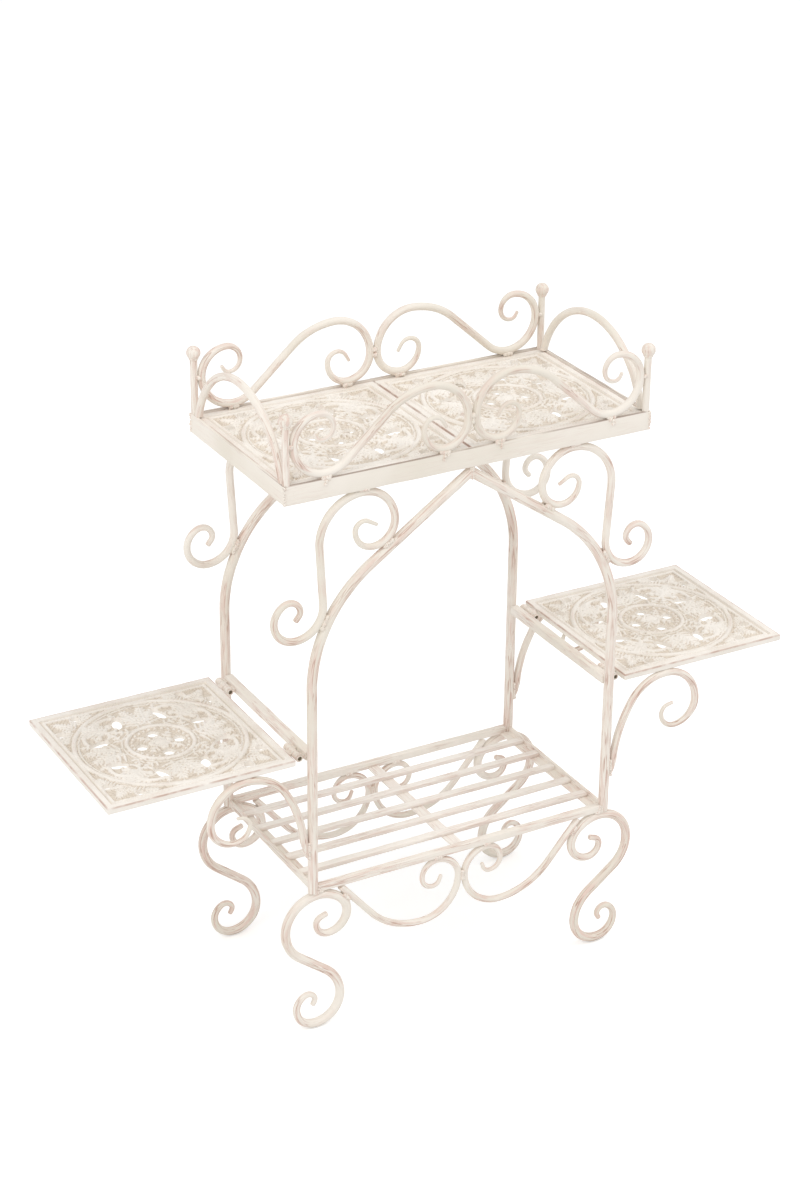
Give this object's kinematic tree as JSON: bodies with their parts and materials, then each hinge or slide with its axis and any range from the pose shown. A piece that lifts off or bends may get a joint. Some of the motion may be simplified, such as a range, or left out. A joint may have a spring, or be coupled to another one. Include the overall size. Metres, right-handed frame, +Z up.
{
  "type": "plant table",
  "caption": "Wrought iron plant table: a galleried tray on arched scroll frames, a slatted shelf below and a hinged pierced leaf on a scroll bracket at each side.",
  "frame": {"origin": "on the floor under the middle of the table", "axes": "+X along the tray towards the right leaf, +Y to the back, +Z up"},
  "size_m": [0.979, 0.2664, 0.864],
  "materials": {
    "cream_ironwork": "matt antique cream paint, rubbed through to a pinkish brown on crests and edges",
    "cream_casting": "matt antique cream paint over a grainy casting, darker in the hollows, rubbed on the relief"
  },
  "bodies": {
    "frame": {"front_left_leg": "cream_ironwork", "front_left_foot": "cream_ironwork", "front_left_apron": "cream_ironwork", "front_left_spandrel": "cream_ironwork", "front_left_bracket": "cream_ironwork", "front_left_rail_scroll": "cream_ironwork", "front_left_post": "cream_ironwork", "front_right_leg": "cream_ironwork", "front_right_foot": "cream_ironwork", "front_right_apron": "cream_ironwork", "front_right_spandrel": "cream_ironwork", "front_right_bracket": "cream_ironwork", "front_right_rail_scroll": "cream_ironwork", "front_right_post": "cream_ironwork", "front_rim_bar": "cream_ironwork", "front_shelf_rail": "cream_ironwork", "rear_left_leg": "cream_ironwork", "rear_left_foot": "cream_ironwork", "rear_left_apron": "cream_ironwork", "rear_left_spandrel": "cream_ironwork", "rear_left_bracket": "cream_ironwork", "rear_left_rail_scroll": "cream_ironwork", "rear_left_post": "cream_ironwork", "rear_right_leg": "cream_ironwork", "rear_right_foot": "cream_ironwork", "rear_right_apron": "cream_ironwork", "rear_right_spandrel": "cream_ironwork", "rear_right_bracket": "cream_ironwork", "rear_right_rail_scroll": "cream_ironwork", "rear_right_post": "cream_ironwork", "rear_rim_bar": "cream_ironwork", "rear_shelf_rail": "cream_ironwork", "left_rim_bar": "cream_ironwork", "left_hoop": "cream_ironwork", "left_tray_panel": "cream_casting", "left_shelf_angle": "cream_ironwork", "left_hinge_bar": "cream_ironwork", "left_fixed_hinges": "cream_ironwork", "left_hinge_pins": "cream_ironwork", "right_rim_bar": "cream_ironwork", "right_hoop": "cream_ironwork", "right_tray_panel": "cream_casting", "right_shelf_angle": "cream_ironwork", "right_hinge_bar": "cream_ironwork", "right_fixed_hinges": "cream_ironwork", "right_hinge_pins": "cream_ironwork", "shelf_slat_1": "cream_ironwork", "shelf_slat_2": "cream_ironwork", "shelf_slat_3": "cream_ironwork", "shelf_slat_4": "cream_ironwork", "shelf_slat_5": "cream_ironwork", "shelf_strap": "cream_ironwork", "panel_bearers": "cream_ironwork", "tray_cross_bar": "cream_ironwork", "post_finials": "cream_ironwork"},
    "left_leaf": {"left_leaf_panel": "cream_casting", "left_leaf_hinges": "cream_ironwork"},
    "right_leaf": {"right_leaf_panel": "cream_casting", "right_leaf_hinges": "cream_ironwork"}
  },
  "joints": [
    {"name": "left_leaf_fold", "type": "hinge", "parent": "frame", "child": "left_leaf", "pos_m": [-0.2305, 0, 0.398], "axis": [0, 1, 0], "range_deg": [0, 75]},
    {"name": "right_leaf_fold", "type": "hinge", "parent": "frame", "child": "right_leaf", "pos_m": [0.2305, 0, 0.398], "axis": [0, -1, 0], "range_deg": [0, 75]}
  ]
}
